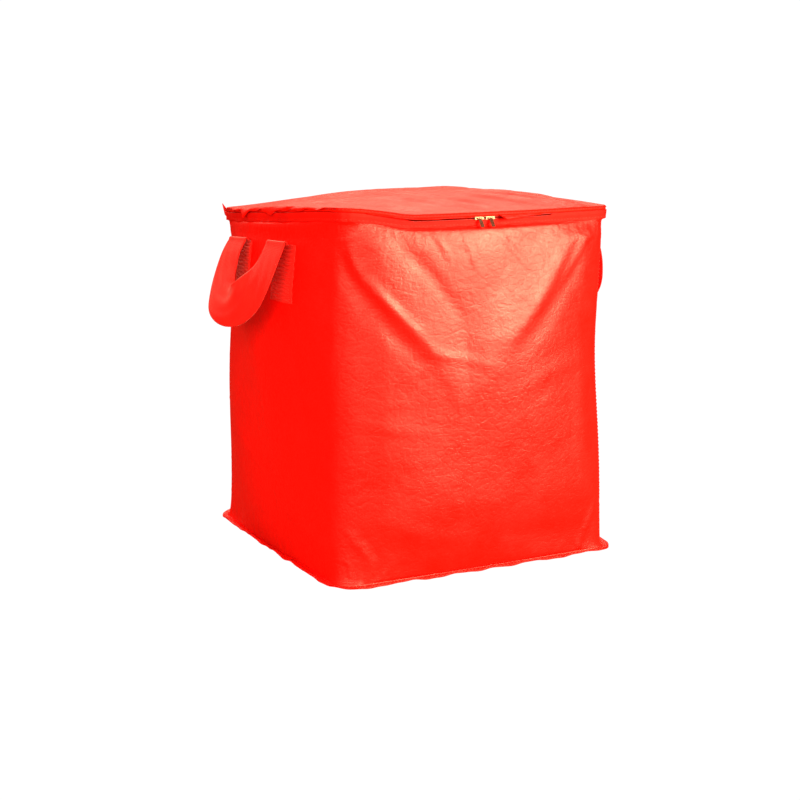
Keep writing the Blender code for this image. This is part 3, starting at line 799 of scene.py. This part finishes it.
def make_tapes():
    u = fine_columns(ZIP_FIRST, ZIP_LAST, 10, 6)
    lower = strip("zip_tape_lower_cloth", u,
                  box_rows(-0.0010, 0.0, WALL_TOP + GAP, TEETH_LOW - GAP, 0.0002))
    finish_piece(lower, TRIM_RED, "bag", ("zip_tape_lower",))
    foot = TEETH_HIGH + TEETH_HEIGHT + GAP
    upper = strip("zip_tape_upper_cloth", u, box_rows(-0.0010, 0.0, foot, HEM_LINE + 0.0030, 0.0002))
    finish_piece(upper, TRIM_RED, "lid", ("zip_tape_upper",))


make_tapes()


def spaced(first, last, pitch, z=0.70, offset=0.0):
    """Column places from first to last an even distance apart along the outline."""
    u = np.linspace(first, last, int((last - first) * 40) + 1)
    points, _ = outline(u, z, offset)
    length = lengths_along(points)
    count = int(length[-1] / pitch)
    return np.interp(np.linspace(0.0, length[-1], count + 1), length, u)


def make_teeth(name, bottom, top, shift, body):
    """Row of moulded teeth; each is a short block narrowed towards the other row."""
    places = spaced(ZIP_FIRST + 0.05, ZIP_LAST - 0.05, 0.0030, 0.705)
    base, tip = (bottom, top) if shift > 0 else (top, bottom)
    verts, faces = [], []
    for u in places:
        points, normals = outline(np.array([u]), 0.705, -0.0005)
        centre, normal = points[0], normals[0]
        along = np.array([-normal[1], normal[0], 0.0])
        start = len(verts)
        for z, half, deep in ((base, 0.0011, 0.0015), ((base + tip) / 2, 0.0010, 0.0015),
                              (tip, 0.0006, 0.0010)):
            for a, d in ((-1, -1), (1, -1), (1, 1), (-1, 1)):
                point = centre + along * half * a + normal * deep * d
                verts.append([point[0], point[1], z])
        for level in (0, 4):
            for side in range(4):
                a, b = start + level + side, start + level + (side + 1) % 4
                faces.append((a, b, b + 4, a + 4))
        faces.append([start + k for k in (3, 2, 1, 0)])
        faces.append([start + k for k in (8, 9, 10, 11)])
    made = new_piece(name, verts, faces)
    node = "zip_teeth_lower" if shift > 0 else "zip_teeth_upper"
    finish_piece(made, ZIP_PLASTIC, body, (node,))


make_teeth("zip_coil_lower", TEETH_LOW, TEETH_LOW + TEETH_HEIGHT + 0.0002, 1, "bag")
make_teeth("zip_coil_upper", TEETH_HIGH - 0.0002, TEETH_HIGH + TEETH_HEIGHT, -1, "lid")


# ------------------------------------------------------------ stitches

def dashes(places, height_of, offset_of):
    """Paths of separate stitches along the outline, their ends sunk in the cloth."""
    paths = []
    for a, b in zip(places[:-1], places[1:]):
        along = np.linspace(a, a + (b - a) * STITCH_SHARE, 5)
        sink = np.array([-0.0007, 0.0, 0.0002, 0.0, -0.0007])
        points, _ = outline(along, height_of(along), offset_of(along) + sink)
        paths.append(points)
    return paths


def make_stitches():
    rim = spaced(0, 56, STITCH_PITCH)
    made = tube_along("rim_band_stitches", dashes(
        rim, lambda u: 0.6945, lambda u: 0.0029), THREAD)
    finish_piece(made, THREAD_RED, "bag", ("rim_band_thread",))
    hem = spaced(3.1, 38.9, HEM_STITCH_PITCH)
    made = tube_along("lid_hem_stitches", dashes(
        hem, lambda u: hem_top(u)[0] - 0.0017, lambda u: 0.0021 + 0.0012 * hem_top(u)[1]), HEM_THREAD)
    finish_piece(made, DARK_THREAD, "lid", ("lid_hem_thread",))
    base = spaced(0, 56, STITCH_PITCH, 0.003, 0.008)
    paths = []
    for a, b in zip(base[:-1], base[1:]):
        along = np.linspace(a, a + (b - a) * STITCH_SHARE, 5)
        lift, wander = flange_wave(girth_of(along))
        points, _ = outline(along, HEM_TOP, 0.0075 + wander * 0.6)
        points[:, 2] += lift * 0.62 ** 1.5 + 0.0006 + STITCH_SINK
        paths.append(points)
    made = tube_along("base_seam_stitches", paths, THREAD)
    finish_piece(made, THREAD_RED, "bag", ("base_seam_thread",))
    for name, column in (("back_left", 0.0), ("front_right", 28.0)):
        paths = []
        for z in np.arange(0.016, 0.672, STITCH_PITCH):
            along = np.linspace(z, z + 0.0053, 5)
            depth = displacement(column, along)
            points, _ = outline(column + 0.02, along, depth + 0.0006 + STITCH_SINK)
            paths.append(points)
        made = tube_along("corner_stitches_" + name, paths, THREAD)
        finish_piece(made, THREAD_RED, "bag", ("corner_seam_thread_" + name,))


make_stitches()


# ------------------------------------------------------------ lid and flaps

# Both ends of each fold of the lid (x, y), its width and height, in millimetres.
LID_FOLDS = (
    (-115, -70, -10, -300, 10, 2.6), (-20, -90, 65, -300, 9, 2.4),
    (45, -60, 150, -292, 10, 2.6), (105, -20, 222, -270, 9, 2.8),
    (150, 10, 275, -225, 8, 3), (205, 40, 300, -150, 9, 2.6),
    (-215, -80, -105, -295, 12, 2.2), (-275, -20, -190, -270, 12, 1.8),
    (-250, 150, -30, 40, 20, 2.6), (-180, 250, 80, 120, 22, 2.8),
    (-60, 290, 180, 180, 16, 2.2), (120, 280, 270, 140, 14, 2),
    (-120, -30, 100, -10, 24, 2), (-290, 60, -120, -60, 16, 1.8),
    (-40, -200, 10, -308, 6, 1.4), (180, -200, 215, -295, 6, 1.4))


def lid_lift(x, y, share):
    """Height of the lid over its edge: a slack dome, fuller towards the right, with folds."""
    dome = 0.0210 * (1.0 - share ** 2.4) * (1.0 - 0.40 * smooth(y, 0.0, 0.30))
    dome = dome * (1.0 - 0.72 * smooth(-x, 0.06, 0.34)) * (1.0 + 0.10 * smooth(x, 0.0, 0.22))
    right = smooth(x, 0.225, 0.300)
    total = dome * (1.0 - right) - right * 0.0075 * smooth(share, 1.0, 0.95)
    for x0, y0, x1, y1, width, height in np.array(LID_FOLDS) / 1000.0:
        dx, dy = x1 - x0, y1 - y0
        length = math.hypot(dx, dy)
        along = ((x - x0) * dx + (y - y0) * dy) / length ** 2
        across = ((x - x0) * dy - (y - y0) * dx) / length
        inside = np.clip(along, 0.0, 1.0)
        across = across - 0.010 * 4.0 * inside * (1.0 - inside)
        taper = np.sin(math.pi * inside) ** 0.7
        ridge = np.exp(-(across / width) ** 2)
        ridge = ridge - 0.5 * np.exp(-((across - 2.0 * width) / (1.6 * width)) ** 2)
        total = total + 1.7 * height * taper * ridge * smooth(share, 1.0, 0.92)
    rng = np.random.default_rng(23)
    for _ in range(90):
        x0, y0 = rng.uniform(-0.29, 0.29, 2)
        half, turned = rng.uniform(0.015, 0.05), rng.uniform(-2.2, -0.4)
        width, height = rng.uniform(0.004, 0.009), rng.uniform(-0.0006, 0.0009)
        along = (x - x0) * math.cos(turned) + (y - y0) * math.sin(turned)
        across = (x - x0) * math.sin(turned) - (y - y0) * math.cos(turned)
        crumple = height * np.exp(-(along / half) ** 2 - (across / width) ** 2)
        total = total + crumple * smooth(share, 1.0, 0.92)
    return total


def make_lid():
    u = fine_columns(0, 56, 12, 5)[:-1]
    shares = np.concatenate([[0.004], np.linspace(0.03, 0.88, 46), np.linspace(0.895, 1.0, 12)])
    edge, _ = outline(u, RIM_HEIGHT, 0.0016)
    rows, uvs = [], []
    for share in shares:
        x, y = edge[:, 0] * share, edge[:, 1] * share
        lift = lid_lift(x, y, np.full_like(x, share))
        floor = RIM_HEIGHT + GAP + 0.0002
        z = floor + np.maximum(lift, -0.009 * (1.0 - smooth(share, 0.94, 0.995)))
        rows.append(np.stack([x, y, z], -1))
        uvs.append(np.stack([x, y], -1))
    made = grid_mesh("lid_cloth", np.array(rows), closed_u=True, uv=np.array(uvs), flip=True)
    thicken(made, SHEET, 1.0)
    finish_piece(made, LID_RED, "lid", ("lid_panel",))


make_lid()


def ribbon(name, rows, body, nodes):
    """Storm flap from rows of points, one sheet thick."""
    rows = np.asarray(rows, float)
    lengths = np.linalg.norm(np.diff(rows, axis=1), axis=2)
    across = np.linalg.norm(np.diff(rows, axis=0), axis=2)
    u = np.concatenate([np.zeros((rows.shape[0], 1)), np.cumsum(lengths, axis=1)], 1)
    v = np.concatenate([np.zeros((1, rows.shape[1])), np.cumsum(across, axis=0)], 0)
    made = grid_mesh(name, rows, uv=np.stack([u, v], -1))
    thicken(made, SHEET, 0.0)
    finish_piece(made, LID_RED, body, nodes)


def make_front_flap():
    """Narrow storm flap over the left half of the front zip."""
    s = np.linspace(-0.250, -0.040, 64)
    share = (s + 0.250) / 0.210
    reach = 0.0095 * np.minimum(1.0, 0.30 + 2.4 * share) * (1.0 - 0.55 * smooth(share, 0.90, 1.0))
    rows = []
    for t in np.linspace(0.0, 1.0, 7):
        offset = 0.0025 + reach * t + 0.0006 * np.sin(s * 95) * t
        z = 0.7091 - 0.0014 * t ** 1.5 + 0.0005 * np.sin(s * 70 + 1) * t
        points, _ = outline(side_column(1, s, 0.69), z, offset)
        rows.append(points)
    ribbon("front_zip_flap", rows, "lid", ("zip_flap_left",))


make_front_flap()


FLAP_HINGE = np.array([0.07767, -0.32406, 0.7102])
FLAP_AXIS = np.array([0.9990, 0.0448, 0.0])
FLAP_OUTWARD = np.array([0.0448, -0.9990, 0.0])
FLAP_SLOPE = FLAP_OUTWARD * math.cos(math.radians(30)) + np.array([0.0, 0.0, -0.5])
FLAP_HALF = 0.0535


def flap_corner(along, down):
    """Point of the right flap from its hinge's middle, along it and down its slope."""
    return FLAP_HINGE + FLAP_AXIS * along + FLAP_SLOPE * down


def make_right_flap():
    """Loose end of the storm flap, folded out and down, with a turned hem."""
    low_start = flap_corner(-FLAP_HALF + 0.007, 0.0200)
    low_end = flap_corner(FLAP_HALF - 0.021, 0.0080)
    normal = np.cross(FLAP_AXIS, FLAP_SLOPE)
    rows = []
    for t in np.linspace(0.0, 1.0, 14):
        line = []
        for s in np.linspace(0.0, 1.0, 42):
            top = flap_corner(-FLAP_HALF + 2.0 * FLAP_HALF * s, 0.0)
            low = low_start + (low_end - low_start) * s
            point = top + (low - top) * t
            curl = 0.0012 * math.sin(math.pi * s) * t + 0.0008 * math.sin(9 * s + 1.0) * t
            hem = 0.0005 if t > 0.80 else 0.0
            line.append(point - normal * (curl + hem) + np.array([0, 0, 0.0003]))
        rows.append(line)
    ribbon("right_zip_flap", rows, "flap", ("zip_flap_right",))


make_right_flap()


def make_side_flap():
    """Crumpled storm flap along the left rim, with two torn-looking tips that stand out."""
    s = np.linspace(-0.215, 0.252, 150)
    drop = 0.0040 + 0.0012 * np.sin(s * 88) + 0.0008 * np.sin(s * 190 + 2)
    drop += 0.0145 * np.clip(1.0 - np.abs(s + 0.106) / 0.034, 0.0, 1.0)
    drop += 0.0095 * np.clip(1.0 - np.where(s < 0.041, 0.041 - s, (s - 0.041) * 2.4) / 0.052, 0.0, 1.0)
    ends = smooth(s, -0.215, -0.190) * smooth(s, 0.252, 0.225)
    drop = drop * (0.25 + 0.75 * ends)
    arch = 0.0042 * np.clip(1.0 - ((s - 0.060) / 0.150) ** 2, 0.0, 1.0) ** 0.8
    rows = []
    for t in np.linspace(0.0, 1.0, 12):
        out = 0.0030 + 0.0075 * math.sin(t * 1.9) * (0.35 + drop / 0.018)
        z = RIM_HEIGHT + 0.0012 + arch * (1.0 - t) - drop * t ** 1.3
        z = z + 0.0007 * np.sin(s * 120 + 5 * t) * t
        points, _ = outline(side_column(0, s, 0.69), 0.7, out + 0.0010 * np.sin(s * 75 + 3 * t))
        points[:, 2] = z
        rows.append(points)
    ribbon("left_zip_flap", rows, "lid", ())


make_side_flap()


# ------------------------------------------------------------ straps

def make_leg(side, place, quarter, centre):
    """Sewn strap end: pinched into ridges by the rows of stitches across it."""
    name = side + "_" + place
    across = np.linspace(-STRAP_WIDTH / 2, STRAP_WIDTH / 2, 31)
    down = np.linspace(0.0, LEG_HEIGHT, 133)
    sign = -1.0 if quarter == 0 else 1.0
    grid_a, grid_d = np.meshgrid(across, down)
    z = LEG_TOP - grid_d
    skew = 0.05 * grid_a + 0.0011 * np.sin(grid_a * 130 + grid_d * 40)
    phase = 2 * math.pi * (grid_d + skew) / (LEG_HEIGHT / 14)
    edge = smooth(np.abs(grid_a), STRAP_WIDTH / 2, STRAP_WIDTH / 2 - 0.007)
    ridge = 0.0017 * (0.5 + 0.5 * np.cos(phase)) ** 0.8 * edge
    ridge *= smooth(grid_d, 0.0, 0.012) * smooth(grid_d, LEG_HEIGHT, LEG_HEIGHT - 0.006)
    wobble = 0.0010 * np.sin(phase * 0.5 + 1.0) * (np.abs(grid_a) / (STRAP_WIDTH / 2)) ** 4
    column = side_column(quarter, (centre + grid_a + wobble) * sign, z)
    outer, _ = wall_surface(column, z, 0.0016 + ridge)
    uv = np.stack([grid_a, grid_d], -1)
    face = grid_mesh("handle_leg_cloth_" + name, outer, uv=uv)
    thicken(face, LEG_FACE, -1.0 if quarter == 0 else 1.0)
    finish_piece(face, WEBBING_RED, "bag", ("handle_leg_" + name,))
    paths = []
    for row in range(14):
        for dash in range(8):
            a0 = -STRAP_WIDTH / 2 + 0.007 + dash * (STRAP_WIDTH - 0.014) / 8
            a = np.linspace(a0, a0 + (STRAP_WIDTH - 0.014) / 8 * 0.72, 5)
            d = (row + 0.5) * LEG_HEIGHT / 14 - (0.05 * a + 0.0011 * np.sin(a * 130 + row * 0.3))
            zz = LEG_TOP - d
            sink = np.array([-0.0006, 0.0002, 0.0004, 0.0002, -0.0006])
            points, _ = wall_surface(side_column(quarter, (centre + a) * sign, zz), zz, 0.0018 + sink)
            paths.append(points)
    stitches = tube_along("leg_stitches_" + name, paths, THREAD, 5)
    finish_piece(stitches, THREAD_RED, "bag", ("leg_stitching_" + name,))


def make_loop(side, axis):
    """Hanging strap: folds out over the leg tops, drops, and rolls over at the bottom."""
    name = "handle_loop_" + side
    axis = np.array(axis)
    sign = -1.0 if side == "left" else 1.0
    down = np.array([sign * math.sin(LOOP_TILT), 0.0, -math.cos(LOOP_TILT)])
    outward = np.array([sign * math.cos(LOOP_TILT), 0.0, math.sin(LOOP_TILT)])
    share = np.linspace(0.0, 1.0, 97)
    along = LEG_SPACING / 2 * np.cos(math.pi * share)
    drop = 0.95 * LOOP_DROP * np.sin(math.pi * share) ** 0.8
    middles = axis + np.array([0.0, 1.0, 0.0]) * along[:, None] + down * drop[:, None]
    free = smooth(share, 0.0, 0.16) * smooth(share, 1.0, 0.84)
    middles[:, 0] += sign * 0.0042 * (1.0 - free)
    travel = np.gradient(middles, axis=0)
    travel[0], travel[-1] = down, -down
    flat = unit(np.cross(outward, unit(travel)))
    if flat[0, 1] < 0.0:
        flat = -flat
    roll = LOOP_ROLL * np.sin(math.pi * share) ** 2 * (1.15 * smooth(share, 0.30, 0.80) - 0.15)
    lean = 1.0 if flat[48] @ down < 0.0 else -1.0
    wide = unit(flat * np.cos(roll)[:, None] + lean * outward * np.sin(roll)[:, None])
    arc = np.linspace(math.pi, 0.0, 10)[:-1]
    over = np.stack([axis[0] + sign * (0.0006 + 0.0036 * np.cos(arc)), np.full_like(arc, axis[1]),
                     LEG_TOP + 0.0008 + 0.0060 * np.sin(arc)], -1)
    first, last = over.copy(), over[::-1].copy()
    first[:, 1] += LEG_SPACING / 2
    last[:, 1] -= LEG_SPACING / 2
    path = np.concatenate([first, middles, last])
    wide = np.concatenate([np.tile([0.0, 1.0, 0.0], (len(first), 1)), wide,
                           np.tile([0.0, -1.0, 0.0], (len(last), 1))])
    for _ in range(5):
        wide[1:-1] = unit((wide[:-2] + 2.0 * wide[1:-1] + wide[2:]) / 4.0)
    thick = unit(np.cross(unit(np.gradient(path, axis=0)), wide))
    places = np.linspace(-0.5, 0.5, 25)
    length = lengths_along(path)
    rows, uvs = [], []
    for index in range(len(path)):
        t = length[index] / length[-1]
        loose = math.sin(math.pi * t) ** 1.5
        cup = 0.0035 * loose * (1.0 - (2.0 * places) ** 2)
        cup = cup + 0.0010 * loose * np.sin(places * 17 + 30 * t)
        width = STRAP_WIDTH * (1.0 - 0.05 * loose)
        rows.append(path[index] + wide[index] * (places * width)[:, None] - thick[index] * cup[:, None])
        uvs.append(np.stack([places * STRAP_WIDTH, np.full_like(places, length[index])], -1))
    made = grid_mesh(name + "_strap", np.array(rows), uv=np.array(uvs))
    thicken(made, WEBBING, 0.0)
    finish_piece(made, WEBBING_RED, None, (name,))
    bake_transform(made)


for strap_side, strap_quarter, strap_centre, strap_axis in (
        ("left", 0, 0.0, (-0.34405, 0.0, 0.647)), ("right", 2, -0.035, (0.34381, -0.035, 0.647))):
    make_leg(strap_side, "front", strap_quarter, strap_centre - LEG_SPACING / 2)
    make_leg(strap_side, "back", strap_quarter, strap_centre + LEG_SPACING / 2)
    make_loop(strap_side, strap_axis)


# ------------------------------------------------------------ zip metal

def ease_edges(obj):
    eased = obj.modifiers.new("eased_edges", "BEVEL")
    eased.width = 0.00025
    eased.segments = 2
    eased.limit_method = "ANGLE"


for metal_name in ("zip_slider_left", "zip_slider_right", "zip_pull_left", "zip_pull_right"):
    metal_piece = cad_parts[metal_name]
    metal_piece.data.materials.clear()
    metal_piece.data.materials.append(ZIP_METAL)
    ease_edges(metal_piece)

for stop_name in ("zip_stop_left", "zip_stop_right"):
    stop_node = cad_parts[stop_name]
    stop_mesh = stop_node.data.copy()
    stop_mesh.transform(stop_node.matrix_world)
    stop_piece = new_object(stop_name + "_metal", stop_mesh)
    ease_edges(stop_piece)
    finish_piece(stop_piece, ZIP_METAL, "bag", (stop_name,))


# ------------------------------------------------------------ camera, light, floor

FLOOR_HALF, FLOOR_DROP = 14.0, -0.0005

# Name, place, target, size in metres, power in watts, colour.
LIGHTS = (
    ("key", (1.75, -3.5, 1.55), (0.0, -0.2, 0.5), (2.0, 1.3), 350.0, (1.0, 0.88, 0.54)),
    ("top", (0.6, 2.2, 2.6), (0.0, 0.0, 0.7), (3.0, 1.6), 95.0, (1.0, 0.86, 0.62)),
    ("left", (-3.1, -2.1, 1.7), (0.0, 0.0, 0.4), (2.6, 2.2), 120.0, (1.0, 0.42, 0.26)),
    ("fill", (-1.9, -3.3, 1.5), (0.0, 0.0, 0.4), (1.6, 1.6), 70.0, (1.0, 0.46, 0.30)))


def make_camera():
    data = bpy.data.cameras.new("photo_camera")
    data.lens = 71.1
    data.sensor_width = 36.0
    camera = new_object("photo_camera", data)
    yaw, pitch = math.radians(27.38), math.radians(-11.52)
    look = Vector((math.sin(yaw) * math.cos(pitch), math.cos(yaw) * math.cos(pitch), math.sin(pitch)))
    camera.location = (-1.549, -2.948, 0.968)
    camera.rotation_euler = look.to_track_quat("-Z", "Y").to_euler()
    SCENE.camera = camera


def soft_light(name, place, target, size, power, colour):
    data = bpy.data.lights.new(name, "AREA")
    data.shape = "RECTANGLE"
    data.size, data.size_y = size
    data.energy = power
    data.color = colour
    made = new_object(name, data)
    made.location = place
    made.rotation_euler = (Vector(target) - Vector(place)).to_track_quat("-Z", "Y").to_euler()


def seen_or_lit(tree, seen, lit):
    """Value that the camera sees directly, and another one for light that bounces."""
    return ramp(tree, add_node(tree, "ShaderNodeLightPath", "Is Camera Ray", {}), lit, seen)


def make_stage():
    world = bpy.data.worlds.new("studio_white")
    world.use_nodes = True
    tree = world.node_tree
    background = tree.nodes["Background"]
    tree.links.new(seen_or_lit(tree, 1.05, 0.42), background.inputs["Strength"])
    tone = add_node(tree, "ShaderNodeCombineColor", "Color", {
        "Red": 1.0, "Green": seen_or_lit(tree, 1.0, 0.20), "Blue": seen_or_lit(tree, 1.0, 0.12)})
    tree.links.new(tone, background.inputs["Color"])
    SCENE.world = world
    SCENE.view_settings.view_transform = "Standard"
    corners = ((-1, -1), (1, -1), (1, 1), (-1, 1))
    floor = new_piece("floor", [(FLOOR_HALF * x, FLOOR_HALF * y, FLOOR_DROP) for x, y in corners],
                      [(0, 1, 2, 3)])
    made, tree, shader = new_material("floor_white", (0.5, 0.5, 0.5), 0.9)
    shader.inputs["Specular IOR Level"].default_value = 0.0
    bounce = {channel: seen_or_lit(tree, 0.0, lit)
              for channel, lit in (("Red", 0.34), ("Green", 0.06), ("Blue", 0.04))}
    tree.links.new(add_node(tree, "ShaderNodeCombineColor", "Color", bounce),
                   shader.inputs["Base Color"])
    shader.inputs["Emission Color"].default_value = (1.0, 1.0, 1.0, 1.0)
    tree.links.new(seen_or_lit(tree, 1.05, 0.0), shader.inputs["Emission Strength"])
    floor.data.materials.append(made)
    for light in LIGHTS:
        soft_light(*light)


make_camera()
make_stage()
